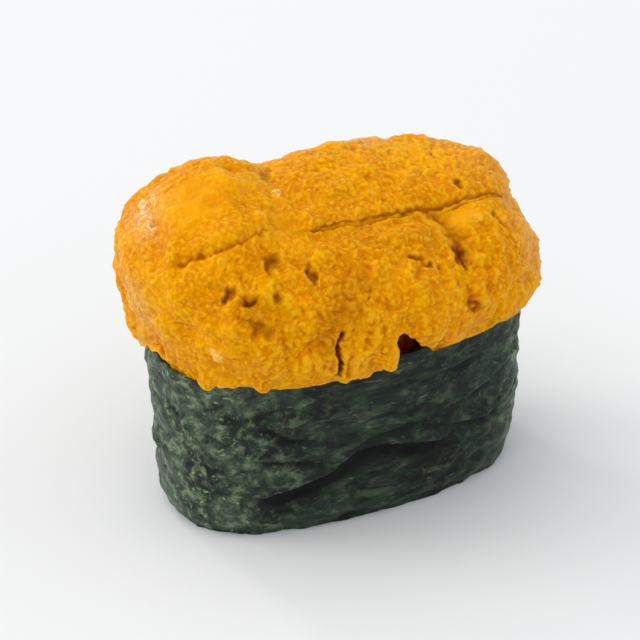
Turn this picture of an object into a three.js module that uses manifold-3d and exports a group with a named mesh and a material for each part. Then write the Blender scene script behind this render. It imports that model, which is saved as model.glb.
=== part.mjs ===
// Sea urchin gunkan: an upright oval band of nori around pressed rice, with four plump
// tongues of sea urchin roe heaped over its rim. Millimetres, +Z up. X runs along the length,
// -Y is the front, and the origin is the middle of the flat underside.
import * as THREE from 'three';
import { mergeVertices } from 'three/addons/utils/BufferGeometryUtils.js';
import Module from 'manifold-3d';

const wasm = await Module();
wasm.setup();

const { clamp, lerp, smoothstep, degToRad, euclideanModulo } = THREE.MathUtils;

// ---- Driving sizes -------------------------------------------------------------------------

const GAP = 0.3; // clearance between pieces that touch

const BAND_HEIGHT = 25; // width of the nori strip, which stands on its long edge
const NORI_THICKNESS = 0.5; // a moistened sheet with its roughness
const BAND_FOOT = { halfLength: 24.5, halfWidth: 12.8, squareness: 2.5, shift: 0 };
const BAND_RIM = { halfLength: 25.5, halfWidth: 13.8, squareness: 2.6, shift: -0.5 };
const FOOT_TUCK = 0.9; // how far the lower edge curls in under the roll
const TUCK_HEIGHT = 3.5; // height over which it curls
const LAP_START = 62; // degrees round from +X to the inner end of the strip, at the back
const LAP_ANGLE = 26; // degrees that the strip's two ends overlap
const LAP_RAMP = 14; // degrees over which the outer end climbs onto the inner one
const BAND_STATIONS = 80;
const BAND_ROWS = 6;

const RICE_HEIGHT = 20; // the rice stops short of the rim and the roe fills the rest
const RICE_CROWN = 1.2; // rise of its middle
const RICE_STATIONS = 36;
const RICE_ROWS = 5;
const CROWN_RINGS = 3;

// Creases of the band: from one point to another, each an angle round from +X and a height.
const CREASES = [
  { from: [-112, 4.5], to: [-84, 8.5], depth: 0.8, width: 2.0 },
  { from: [-84, 8.5], to: [-52, 13.5], depth: 1.0, width: 2.6 },
  { from: [-52, 13.5], to: [-22, 17.0], depth: 0.6, width: 2.2 },
  { from: [-158, 16.0], to: [-136, 12.0], depth: 0.5, width: 2.0 },
  { from: [18, 8.0], to: [64, 12.5], depth: 0.7, width: 2.4 },
  { from: [104, 15.0], to: [146, 9.5], depth: 0.8, width: 2.6 },
];
const CREASE_REACH = 20; // millimetres of face to one radian of turn

// The heap of roe as a whole: sections across the length, evenly spaced from end to end. Each
// is an oval drawn through its crest, its front and back bulges and the floor.
const HEAP = {
  left: -28.2,
  right: 28.1,
  floor: 18.6, // lowest point, which the rice cuts off
  crestHeight: [45, 47, 47.4, 45.1, 44.3, 43.4, 42.8, 43.6, 41],
  crestPlace: [4, 4, 4, 4.5, 5, 5, 4.5, 3, 1],
  frontReach: [-11, -16.3, -18, -18, -18.1, -17, -16, -14.6, -11.5],
  backReach: [15, 17, 17, 16.6, 16.6, 16.6, 16.2, 15.4, 12],
  bulgeHeight: [35, 32.6, 30.8, 30, 30, 30, 29.5, 28.5, 27.5],
};
const HEAP_SHAPE = { ends: 3.2, endsUnder: 3.8, front: 1.75, back: 2.2, under: 2 }; // 2 is an ellipse
const HEAP_STATIONS = 44;
const HEAP_SIDES = 40;

// Seams between the tongues, as routes in plan.
const SEAMS = {
  left: [[-2, 24], [-6.2, 9], [-10.4, -2.5], [-12.8, -9], [-14.2, -14], [-14.5, -24]],
  back: [[-16, -5.6], [-6, -6.1], [1, -5.9], [9, -5.2], [17, -4.4], [21, -3.5], [26, -1], [34, 4]],
  right: [[7, -1], [9.3, -5.5], [11.2, -9.4], [11.6, -13], [12, -16], [14, -24]],
};
const SEAM_STEPS = 24;
const SEAM_DIP = { left: 1.0, back: 1.0, right: 0.7 }; // depth of the valley over each
const SEAM_SPREAD = { left: 3.6, back: 3.0, right: 2.6 }; // its half width
const DIP_FADE = { gone: -0.7, full: 0.2 }; // sines of the turn round a section: none underneath
const DIP_GROWTH = 2; // a valley has its whole depth where a section is half its full size

// The tongues, each by the side of every seam that it lies on: 1 is the left of the route.
const TONGUES = {
  uni_left: { left: -1 },
  uni_back: { left: 1, back: 1 },
  uni_front: { left: 1, back: -1, right: -1 },
  uni_right: { left: 1, back: -1, right: 1 },
};

// A torn place in the lower edge of the front tongue, as an outline of X and Z, and how deep.
const TEAR = { outline: [[0.1, 23], [0.1, 29.6], [0.9, 30.6], [6.6, 26], [8, 23]], behind: -11.5 };

const FAR = 40; // well outside the object, for the bodies that cut it
const SEAT_STATIONS = 48;
const SEAT_DEPTH = 10; // lowest point of the body that seats the roe on the band

// ---- Materials -----------------------------------------------------------------------------

const nori = new THREE.MeshStandardMaterial({ color: 0x2b362e, roughness: 0.55, metalness: 0 });
const rice = new THREE.MeshStandardMaterial({ color: 0xefece2, roughness: 0.5, metalness: 0 });
const roe = new THREE.MeshStandardMaterial({ color: 0xe0900f, roughness: 0.38, metalness: 0 });

// ---- Helpers -------------------------------------------------------------------------------

// A cosine or sine drawn out towards a rectangle: power 2 is an ellipse, more is squarer.
function squared(value, squareness) {
  return Math.sign(value) * Math.abs(value) ** (2 / squareness);
}

// A smooth curve through evenly spaced values, at t from 0 to 1.
function along(values, t) {
  const span = values.length - 1;
  const i = Math.min(Math.floor(t * span), span - 1);
  const f = t * span - i;
  const [a, b, c, d] = [-1, 0, 1, 2].map((k) => values[clamp(i + k, 0, span)]);
  return b + 0.5 * f * (c - a + f * (2 * a - 5 * b + 4 * c - d + f * (3 * (b - c) + d - a)));
}

// A mesh from quadrilaterals of points. Points that coincide become one vertex.
function fromQuads(quads) {
  const positions = [];
  for (const [a, b, c, d] of quads) {
    for (const p of [a, b, c, a, c, d]) positions.push(p.x, p.y, p.z);
  }
  const geometry = new THREE.BufferGeometry();
  geometry.setAttribute('position', new THREE.Float32BufferAttribute(positions, 3));
  return fromSolid(toSolid(geometry));
}

// The quadrilaterals between rings of points, each ring closed on itself.
function sleeve(rings) {
  const quads = [];
  for (let i = 0; i + 1 < rings.length; i += 1) {
    for (let j = 0; j < rings[i].length; j += 1) {
      const k = (j + 1) % rings[i].length;
      quads.push([rings[i][j], rings[i][k], rings[i + 1][k], rings[i + 1][j]]);
    }
  }
  return quads;
}

// A closed body from rings, with a pole at each end.
function spindle(firstPole, rings, lastPole) {
  const shrunk = (pole) => rings[0].map(() => pole);
  return fromQuads(sleeve([shrunk(firstPole), ...rings, shrunk(lastPole)]));
}

// A straight-sided body standing on an outline.
function prism(outline, depth) {
  return new THREE.ExtrudeGeometry(new THREE.Shape(outline), { depth, bevelEnabled: false });
}

function toSolid(geometry) {
  const bare = geometry.clone();
  bare.deleteAttribute('normal');
  bare.deleteAttribute('uv');
  const merged = mergeVertices(bare, 1e-4);
  const index = merged.index.array;
  const triVerts = [];
  for (let i = 0; i < index.length; i += 3) {
    const [a, b, c] = index.slice(i, i + 3);
    if (a !== b && b !== c && c !== a) triVerts.push(a, b, c);
  }
  return new wasm.Manifold(new wasm.Mesh({
    numProp: 3,
    vertProperties: Float32Array.from(merged.attributes.position.array),
    triVerts: Uint32Array.from(triVerts),
  }));
}

function fromSolid(solid) {
  const { vertProperties, triVerts } = solid.getMesh();
  const geometry = new THREE.BufferGeometry();
  geometry.setAttribute('position', new THREE.BufferAttribute(vertProperties, 3));
  geometry.setIndex(new THREE.BufferAttribute(triVerts, 1));
  return geometry;
}

// ---- The band of nori ----------------------------------------------------------------------

// How far the band's face is pressed in at an angle and a height.
function creaseDepth(angle, height) {
  const onFace = (turn, z) => new THREE.Vector2(degToRad(turn) * CREASE_REACH, z);
  let depth = 0;
  for (const { from, to, depth: deepest, width } of CREASES) {
    const start = onFace(...from);
    const run = onFace(...to).sub(start);
    const point = onFace(euclideanModulo(angle + 180, 360) - 180, height).sub(start);
    const t = clamp(point.dot(run) / run.lengthSq(), 0, 1);
    const away = point.distanceTo(run.multiplyScalar(t)) / width;
    depth = Math.max(depth, deepest * Math.exp(-away * away));
  }
  return depth;
}

// A point of the oval that the band follows, at an angle and a height, moved out by `out`.
function ovalPoint(angle, height, out) {
  const t = clamp(height / BAND_HEIGHT, 0, 1);
  const halfLength = lerp(BAND_FOOT.halfLength, BAND_RIM.halfLength, t);
  const halfWidth = lerp(BAND_FOOT.halfWidth, BAND_RIM.halfWidth, t);
  const squareness = lerp(BAND_FOOT.squareness, BAND_RIM.squareness, t);
  const low = 1 - smoothstep(height, 0, TUCK_HEIGHT);
  const grow = out - FOOT_TUCK * low * low;
  const turn = degToRad(angle);
  return new THREE.Vector3(
    lerp(BAND_FOOT.shift, BAND_RIM.shift, t) + (halfLength + grow) * squared(Math.cos(turn), squareness),
    (halfWidth + grow) * squared(Math.sin(turn), squareness),
    height,
  );
}

// How far the outer end of the strip has climbed, by the angle travelled from the inner end.
function lapClimb(travelled) {
  return smoothstep(travelled, 360 - LAP_RAMP, 360) * (NORI_THICKNESS + GAP);
}

// The strip is one sheet bent into a loop, whose outer end lies on its inner end.
function bandGeometry() {
  const heights = Array.from({ length: BAND_ROWS + 1 }, (_, k) => (BAND_HEIGHT * k) / BAND_ROWS);
  const rings = [];
  for (let i = 0; i <= BAND_STATIONS; i += 1) {
    const travelled = ((360 + LAP_ANGLE) * i) / BAND_STATIONS;
    const angle = LAP_START + travelled;
    const face = (out) => heights.map((height) => (
      ovalPoint(angle, height, out + lapClimb(travelled) - creaseDepth(angle, height))
    ));
    rings.push([...face(-NORI_THICKNESS), ...face(0).reverse()]);
  }
  const quads = sleeve(rings);
  const cap = (ring, flip) => {
    for (let k = 0; k < BAND_ROWS; k += 1) {
      const far = ring.length - 1 - k;
      const quad = [ring[k], ring[k + 1], ring[far - 1], ring[far]];
      quads.push(flip ? quad.reverse() : quad);
    }
  };
  cap(rings[0], true);
  cap(rings[BAND_STATIONS], false);
  return fromQuads(quads);
}

// ---- The rice ------------------------------------------------------------------------------

// A ring of the oval taken at `height`, moved out by out(angle), shrunk in plan and laid at z.
function ovalRing(count, height, out, shrink, z) {
  return Array.from({ length: count }, (_, j) => {
    const angle = (360 * j) / count;
    const p = ovalPoint(angle, height, out(angle));
    return new THREE.Vector3(p.x * shrink, p.y * shrink, z);
  });
}

// The rings of the rice's crown, from its edge towards the middle, raised by `lift`.
function crownRings(count, out, lift) {
  return Array.from({ length: CROWN_RINGS }, (_, ring) => {
    const shrink = 1 - ring / CROWN_RINGS;
    return ovalRing(count, RICE_HEIGHT, out, shrink, RICE_HEIGHT + lift + RICE_CROWN * (1 - shrink ** 2));
  });
}

function riceGeometry() {
  const rings = [];
  for (let row = 0; row < RICE_ROWS; row += 1) {
    const height = (RICE_HEIGHT * row) / RICE_ROWS;
    const out = (angle) => -(NORI_THICKNESS + GAP) - creaseDepth(angle, height);
    rings.push(ovalRing(RICE_STATIONS, height, out, 1, height));
  }
  const out = (angle) => -(NORI_THICKNESS + GAP) - creaseDepth(angle, RICE_HEIGHT);
  rings.push(...crownRings(RICE_STATIONS, out, 0));
  return spindle(new THREE.Vector3(), rings, new THREE.Vector3(0, 0, RICE_HEIGHT + RICE_CROWN));
}

// ---- The roe -------------------------------------------------------------------------------

const seamPoints = {};
for (const [name, route] of Object.entries(SEAMS)) {
  const points = route.map(([x, y]) => new THREE.Vector3(x, y, 0));
  const curve = new THREE.CatmullRomCurve3(points, false, 'centripetal');
  seamPoints[name] = curve.getSpacedPoints(SEAM_STEPS).map((p) => new THREE.Vector2(p.x, p.y));
}

// Distance in plan from a seam: positive on its left as its route runs, negative on its right.
function fromSeam(name, place) {
  const points = seamPoints[name];
  let nearest = Infinity;
  for (let i = 0; i + 1 < points.length; i += 1) {
    const run = points[i + 1].clone().sub(points[i]);
    const rel = place.clone().sub(points[i]);
    const t = clamp(rel.dot(run) / run.lengthSq(), 0, 1);
    const distance = rel.distanceTo(run.clone().multiplyScalar(t));
    if (distance < Math.abs(nearest)) nearest = distance * (run.cross(rel) < 0 ? -1 : 1);
  }
  return nearest;
}

// Depth of the valleys between tongues, in plan.
function seamDip(place) {
  const valley = (name, distance) => SEAM_DIP[name] * Math.exp(-((distance / SEAM_SPREAD[name]) ** 2));
  const left = fromSeam('left', place);
  const back = fromSeam('back', place);
  let dip = valley('left', left);
  if (left > 0) dip = Math.max(dip, valley('back', back));
  if (left > 0 && back < 0) dip = Math.max(dip, valley('right', fromSeam('right', place)));
  return dip;
}

// How full a section is, at t from 0 to 1 along the length: 1 in the middle and 0 at both ends.
function endCap(t, squareness) {
  return (1 - Math.abs(2 * t - 1) ** squareness) ** (1 / squareness);
}

// The whole heap, before it is parted into tongues.
function heapGeometry() {
  const rings = [];
  const centreAt = (t) => new THREE.Vector3(
    lerp(HEAP.left, HEAP.right, t),
    along(HEAP.crestPlace, t),
    along(HEAP.bulgeHeight, t),
  );
  for (let i = 1; i < HEAP_STATIONS; i += 1) {
    const t = 0.5 - 0.5 * Math.cos((Math.PI * i) / HEAP_STATIONS);
    const cap = endCap(t, HEAP_SHAPE.ends);
    const centre = centreAt(t);
    const ring = [];
    for (let j = 0; j < HEAP_SIDES; j += 1) {
      const turn = (2 * Math.PI * j) / HEAP_SIDES;
      const isBack = Math.cos(turn) > 0;
      const isAbove = Math.sin(turn) > 0;
      const bow = isAbove ? HEAP_SHAPE[isBack ? 'back' : 'front'] : HEAP_SHAPE.under;
      const reach = Math.abs(along(isBack ? HEAP.backReach : HEAP.frontReach, t) - centre.y);
      const height = Math.abs((isAbove ? along(HEAP.crestHeight, t) : HEAP.floor) - centre.z);
      const arm = new THREE.Vector3(
        0,
        squared(Math.cos(turn), bow) * reach * cap,
        squared(Math.sin(turn), bow) * height * (isAbove ? cap : endCap(t, HEAP_SHAPE.endsUnder)),
      );
      const fade = smoothstep(Math.sin(turn), DIP_FADE.gone, DIP_FADE.full) * Math.min(1, DIP_GROWTH * cap);
      const dip = seamDip(new THREE.Vector2(centre.x, centre.y + arm.y)) * fade;
      ring.push(centre.clone().add(arm.setLength(arm.length() - dip)));
    }
    rings.push(ring);
  }
  return spindle(centreAt(0), rings, centreAt(1));
}

// The body that the roe is seated on: the band and the rice, each grown by the gap.
function seatSolid() {
  const outside = (angle) => {
    const travelled = euclideanModulo(angle - LAP_START, 360);
    return GAP + lapClimb(travelled < LAP_ANGLE + 360 / SEAT_STATIONS ? travelled + 360 : travelled);
  };
  const inside = () => -(NORI_THICKNESS + GAP);
  const rim = BAND_HEIGHT + GAP;
  const plug = spindle(
    new THREE.Vector3(0, 0, SEAT_DEPTH),
    [SEAT_DEPTH, rim].map((z) => ovalRing(SEAT_STATIONS, z, outside, 1, z)),
    new THREE.Vector3(0, 0, rim),
  );
  const mouth = ovalRing(SEAT_STATIONS, BAND_HEIGHT, inside, 1, FAR);
  const pocket = spindle(
    new THREE.Vector3(0, 0, RICE_HEIGHT + RICE_CROWN + GAP),
    [...crownRings(SEAT_STATIONS, inside, GAP).reverse(), mouth],
    new THREE.Vector3(0, 0, FAR),
  );
  return toSolid(plug).subtract(toSolid(pocket));
}

// Everything on one side of a seam, kept half a gap clear of it.
function besideSeam(name, side) {
  const points = seamPoints[name];
  const last = points.length - 1;
  const edge = points.map((p, i) => {
    const run = points[Math.min(i + 1, last)].clone().sub(points[Math.max(i - 1, 0)]).normalize();
    return p.clone().add(new THREE.Vector2(-run.y, run.x).multiplyScalar((side * GAP) / 2));
  });
  const across = points[last].clone().sub(points[0]).normalize();
  const away = new THREE.Vector2(-across.y, across.x).multiplyScalar(side * 2 * FAR);
  const ahead = across.clone().multiplyScalar(FAR);
  const outline = [
    edge[0].clone().sub(ahead),
    ...edge,
    edge[last].clone().add(ahead),
    edge[last].clone().add(ahead).add(away),
    edge[0].clone().sub(ahead).add(away),
  ];
  return toSolid(prism(outline, 2 * FAR));
}

// The wedge that the torn place takes out of the front tongue.
function tearSolid() {
  const wedge = prism(TEAR.outline.map(([x, z]) => new THREE.Vector2(x, z)), FAR);
  wedge.rotateX(Math.PI / 2);
  wedge.translate(0, TEAR.behind, 0);
  return toSolid(wedge);
}

// ---- Assembly ------------------------------------------------------------------------------

const sushi = new THREE.Group();

function add(name, geometry, material) {
  const faceted = geometry.toNonIndexed();
  faceted.computeVertexNormals();
  const mesh = new THREE.Mesh(faceted, material);
  mesh.name = name;
  sushi.add(mesh);
}

add('nori_wrap', bandGeometry(), nori);
add('rice', riceGeometry(), rice);

const heap = toSolid(heapGeometry()).subtract(seatSolid());
for (const [name, sides] of Object.entries(TONGUES)) {
  let tongue = heap;
  for (const [seam, side] of Object.entries(sides)) tongue = tongue.intersect(besideSeam(seam, side));
  if (name === 'uni_front') tongue = tongue.subtract(tearSolid());
  add(name, fromSolid(tongue), roe);
}

export default sushi;
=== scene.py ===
# %% [markdown]
# # Sea urchin gunkan
# A gunkan is a small "boat" of sushi: pressed rice, a band of nori stood up round it, and a soft
# topping heaped over the rim. This one carries four plump tongues of sea urchin roe. The packed
# solids already have the right places and sizes, so they are loaded first and never moved. Each
# visible piece is then made as a finer mesh in the same place, with a finish of its own.

# %% Load the fixed frame
import math

import bmesh
import bpy
import numpy as np
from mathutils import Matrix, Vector
from mathutils.bvhtree import BVHTree


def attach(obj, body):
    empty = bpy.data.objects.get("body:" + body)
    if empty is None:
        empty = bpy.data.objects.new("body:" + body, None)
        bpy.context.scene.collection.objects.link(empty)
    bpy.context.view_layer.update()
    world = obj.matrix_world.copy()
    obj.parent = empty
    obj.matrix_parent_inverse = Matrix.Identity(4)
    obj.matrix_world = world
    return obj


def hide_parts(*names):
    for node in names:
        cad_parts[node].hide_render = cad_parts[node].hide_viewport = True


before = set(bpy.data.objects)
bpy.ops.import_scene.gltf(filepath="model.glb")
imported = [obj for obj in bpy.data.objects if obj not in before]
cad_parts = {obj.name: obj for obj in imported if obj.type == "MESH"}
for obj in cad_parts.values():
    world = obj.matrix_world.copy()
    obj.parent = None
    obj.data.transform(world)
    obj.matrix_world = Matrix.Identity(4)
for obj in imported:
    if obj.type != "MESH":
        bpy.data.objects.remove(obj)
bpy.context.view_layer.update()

MM = 0.001  # Blender works in metres; every size below is in millimetres
print("solids:", ", ".join(sorted(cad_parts)))

# %% [markdown]
# ## Working on a whole mesh at once
# Roe, nori and rice all get their surface from small moves of many points. Modifiers could do
# parts of it, but named places such as a crack or a pit need more say, so the points of a mesh
# are taken out as one numpy array, moved by plain arithmetic and put back.

# %% Points, directions and painted numbers
def points_of(mesh):
    """All points of a mesh, in millimetres."""
    flat = np.empty(3 * len(mesh.vertices), np.float32)
    mesh.vertices.foreach_get("co", flat)
    return flat.reshape(-1, 3).astype(float) / MM


def facing_of(mesh):
    """The direction that each point of a mesh faces."""
    flat = np.empty(3 * len(mesh.vertices), np.float32)
    mesh.vertex_normals.foreach_get("vector", flat)
    return flat.reshape(-1, 3).astype(float)


def move_points(mesh, points):
    mesh.vertices.foreach_set("co", (points * MM).astype(np.float32).ravel())
    mesh.update()


def paint(mesh, name, values):
    """Keeps one number for each point, which a material reads by its name."""
    layer = mesh.attributes.new(name, "FLOAT", "POINT")
    layer.data.foreach_set("value", np.asarray(values, np.float32))


def smooth_mesh(name, points, faces):
    """A mesh from points in millimetres and lists of corners, shaded smooth."""
    mesh = bpy.data.meshes.new(name)
    mesh.from_pydata((points * MM).tolist(), [], faces)
    mesh.polygons.foreach_set("use_smooth", np.ones(len(mesh.polygons), bool))
    return mesh


def add_object(name, data):
    """A mesh, a lamp or a camera put into the scene as an object."""
    made = bpy.data.objects.new(name, data)
    bpy.context.scene.collection.objects.link(made)
    return made


def ease(low, high, x):
    """0 below `low`, 1 above `high`, and a smooth step between them."""
    t = np.clip((x - low) / (high - low), 0, 1)
    return t * t * (3 - 2 * t)


# %% [markdown]
# ## Noise
# Two kinds of noise make nearly all of food's small relief. Waves rise and fall softly, like
# the swell of a soft body. Beads scatter one centre in each cell of a grid and measure how far
# the nearest one is, which gives the round heads of roe. Both come from a hash of whole
# numbers, so they are the same on every run and match where two pieces meet. Each call gives a
# size in millimetres and a salt, a whole number that keeps one noise from looking like another.

# %% Waves and beads
def hashed(cells, salt):
    """A steady jumble of bits for each row of whole numbers."""
    x, y, z = cells.astype(np.int64).astype(np.uint32).T
    h = x * np.uint32(0x8DA6B343) ^ y * np.uint32(0xD8163841) ^ z * np.uint32(0xCB1AB31F)
    h = h ^ np.uint32(salt * 0x9E3779B1 & 0xFFFFFFFF)
    for shift, factor in ((16, 0x7FEB352D), (15, 0x846CA68B)):
        h = (h ^ (h >> np.uint32(shift))) * np.uint32(factor)
    return h ^ (h >> np.uint32(16))


def scattered(cells, salt):
    """Three numbers from 0 to 1 for each row of whole numbers."""
    h = hashed(cells, salt)
    return np.stack([(h >> np.uint32(shift) & np.uint32(1023)) / 1023 for shift in (0, 10, 20)], 1)


def waves(points, size, salt):
    """Soft noise from about -1 to 1, with swells about `size` apart."""
    place = points / size
    cell = np.floor(place)
    inside = place - cell
    blend = inside ** 3 * (inside * (inside * 6 - 15) + 10)
    total = np.zeros(len(points))
    for corner in np.ndindex(2, 2, 2):
        slope = 2 * scattered(cell + corner, salt) - 1
        share = np.prod(np.where(corner, blend, 1 - blend), axis=1)
        total += share * np.einsum("ij,ij->i", slope, inside - corner)
    return 1.5 * total


def beads(points, size, salt):
    """How far the nearest of scattered centres is, in cells."""
    place = points / size
    cell = np.floor(place)
    nearest = np.full(len(points), np.inf)
    for step in np.ndindex(3, 3, 3):
        neighbour = cell + np.array(step) - 1
        away = np.linalg.norm(neighbour + scattered(neighbour, salt) - place, axis=1)
        nearest = np.minimum(nearest, away)
    return nearest


def closeness(points, route, reach):
    """1 on a route of points and falling off round it, to about a third at `reach`."""
    route = np.array(route, float).reshape(-1, 3)
    margin = 3 * reach
    near = np.all((points > route.min(0) - margin) & (points < route.max(0) + margin), axis=1)
    here = points[near]
    nearest = np.full(len(here), margin)
    for start, end in zip(route[:-1], route[1:]) if len(route) > 1 else [(route[0], route[0])]:
        run = end - start
        t = np.clip((here - start) @ run / max(run @ run, 1e-9), 0, 1)
        nearest = np.minimum(nearest, np.linalg.norm(here - start - t[:, None] * run, axis=1))
    result = np.zeros(len(points))
    result[near] = np.exp(-(nearest / reach) ** 2)
    return result


# %% [markdown]
# ## The tongues of roe
# A tongue of roe is a soft sac packed with tiny lobules. Its skin is pebbled, with pits where
# lobules have parted, and it tears where it was bent over the rim. Sculpting by hand would not
# repeat, and a modifier stack can't name a single pit. So each tongue starts as a copy of its
# solid, remeshed to an even fine skin and rubbed round. Then the marks that one can point at
# are pressed in, and the noise adds the pebbles.

# %% The marks on the roe
# A mark is a route in millimetres, its half width and its depth. A negative depth swells out.
BACK_SEAM = [(-6, -6.1, 41.1), (0.7, -5.9, 40.8), (6.2, -5.4, 40.6), (14, -4.5, 40.5), (20.5, -3.6, 39.0),
             (22.6, -2.8, 37.8)]
LEFT_GROOVE = [(-23.6, -5.5, 40.2), (-20.4, -6.9, 41.8), (-16.5, -7.2, 42.8), (-12.8, -6.3, 42.9)]
CHANNEL = [(11.2, -5.4, 39.8), (12.1, -7.2, 38.8), (12.6, -8.9, 37.8), (12.9, -10.6, 36.6)]
SOFT_MARKS = [
    ([(x, y + 1.7, z + 0.4) for x, y, z in BACK_SEAM], 1.4, -0.45),  # the lip above the seam
    ([(x, y - 1.3, z - 0.5) for x, y, z in BACK_SEAM[:4]], 1.1, 0.3),  # the step below it
    ([(x, y + 1.6, z + 0.4) for x, y, z in LEFT_GROOVE], 1.3, -0.65),  # the lip above the groove
    (CHANNEL, 1.5, 0.9),
    ([(4.0, 8.8, 43.2), (9.4, 8.8, 42.4), (13.5, 8.2, 41.9)], 2.6, -0.5),  # the crest at the back
    ([(10.0, 8.8, 42.4), (12.2, 8.6, 42.0)], 1.6, -0.5),
    ([(21.5, 2.2, 41.0), (23.6, 1.4, 39.2)], 2.0, -0.8),  # the back tongue's round right end
    ([(24.4, -2.6, 36.4), (25.5, -2.2, 34.8), (25.9, -3.8, 33.5)], 2.3, 1.3),  # the step down from it
    ([(26.6, 1.6, 34.6), (27.1, 0.8, 33.2), (27.6, 0.2, 32.0)], 1.9, 0.9),
    ([(24.6, -6.5, 29.5), (22.6, -10.0, 28.0), (19.5, -12.6, 27.0), (17.0, -13.6, 26.6)], 2.4, 1.5),
    ([(-14.5, -15.0, 25.9), (-12.2, -15.3, 25.5), (-10.2, -15.3, 25.3)], 1.6, 0.8),
    ([(-24.7, -4.9, 25.5), (-23.1, -7.5, 25.4), (-21.4, -9.9, 25.5)], 1.8, -0.5),
    ([(-22.6, 9.6, 42.4), (-24.5, 9.3, 41.3)], 1.8, -0.6),
    ([(-12.5, 5.1, 46.3)], 1.6, 0.5),
    ([(-27.0, 8.1, 38.9), (-27.9, 7.6, 36.0)], 2.0, 0.7),
    ([(-28.0, 5.0, 29.5), (-27.6, 3.8, 27.4), (-26.9, -1.4, 27.6)], 3.3, 1.6),
    ([(-22.8, -0.5, 43.2), (-24.3, -4.2, 40.3)], 1.3, -0.45),  # a ridge at the left end
    ([(-24.9, -8.2, 32.7), (-23.9, -9.7, 32.6)], 1.5, 0.55),
    ([(-14.3, -14.5, 36.0), (-14.6, -16.2, 31.1), (-13.8, -16.2, 28.0)], 0.9, 0.55),
    ([(0.4, -16.8, 26.5), (0.4, -17.0, 28.5)], 1.2, -0.9),  # the lobe beside the tear
    ([(18.7, -11.9, 33.2)], 1.0, 0.4),
    ([(2.7, 9.0, 43.3), (4.3, 7.8, 43.4)], 1.0, -0.35),
    ([(14.0, 8.0, 42.3), (16.4, 7.7, 41.9)], 1.3, -0.35),
    ([(-22.1, -12.0, 30.5)], 0.7, -0.45),  # a wet bead on the lower left
    ([(7.4, 16.4, 35.6)], 1.5, 0.9),
    # Valleys down the back, the first where two tongues have run together.
    ([(-5.4, 13.5, 39.5), (-5.2, 15.5, 36.0), (-5.0, 16.4, 31.0), (-5.0, 16.0, 26.5)], 1.3, 0.9),
    ([(1.0, 16.0, 35.0), (1.6, 16.4, 32.0), (1.2, 16.2, 28.0)], 1.1, 0.5),
    ([(9.0, 14.5, 38.0), (9.5, 16.0, 33.0), (8.5, 16.0, 27.5)], 1.0, 0.5),
    ([(19.5, 11.5, 36.5), (20.5, 13.0, 31.0), (20.0, 12.8, 27.0)], 1.3, 0.6),
    ([(-17.5, 14.0, 38.0), (-18.5, 15.0, 32.0), (-18.0, 14.8, 27.0)], 1.3, 0.6),
]
FOLDS_BY_CRACK = [
    [(-9.9, -17.1, 32.6), (-9.9, -17.6, 30.5), (-9.1, -17.0, 27.2)],
    [(-8.6, -17.0, 33.4), (-8.5, -17.7, 30.8), (-7.9, -16.9, 26.8)],
    [(-5.4, -17.3, 32.6), (-6.0, -17.9, 30.2), (-6.0, -16.7, 26.3)],
    [(-3.1, -17.0, 33.4), (-3.9, -17.9, 30.8), (-4.4, -17.0, 26.6)],
    [(-1.4, -17.5, 32.3), (-1.9, -18.1, 29.5), (-1.9, -17.0, 26.5)],
    [(-11.4, -16.9, 32.3), (-11.1, -17.3, 30.1), (-10.8, -17.0, 28.0)],
]
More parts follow.
